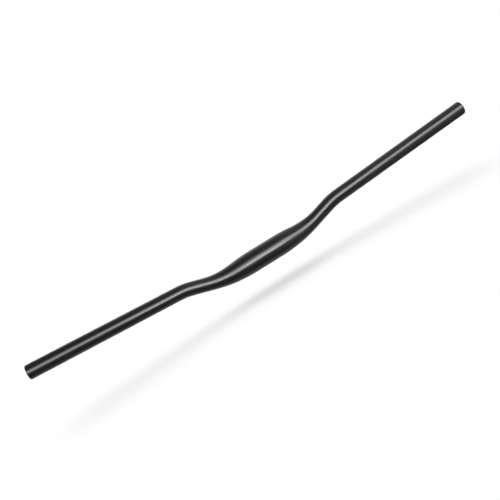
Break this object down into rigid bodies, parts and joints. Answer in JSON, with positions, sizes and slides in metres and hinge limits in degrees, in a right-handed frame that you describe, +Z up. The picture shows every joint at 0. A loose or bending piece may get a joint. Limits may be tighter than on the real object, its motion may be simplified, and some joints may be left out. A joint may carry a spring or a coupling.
{
  "type": "riser handlebar",
  "caption": "Riser handlebar for a mountain bike: one satin black aluminium tube with a thick clamp zone, a double bend on each side and swept grip ends.",
  "frame": {"origin": "centre of the zone that the stem clamps, on the tube's axis", "axes": "as the bar sits on the bicycle: +X along the clamp axis to the rider's right, +Y forward, +Z up"},
  "size_m": [0.7636, 0.0705, 0.0741],
  "materials": {
    "black_anodised": "satin black anodising over fine blasting"
  },
  "bodies": {
    "root": {"handlebar": "black_anodised"}
  },
  "joints": []
}
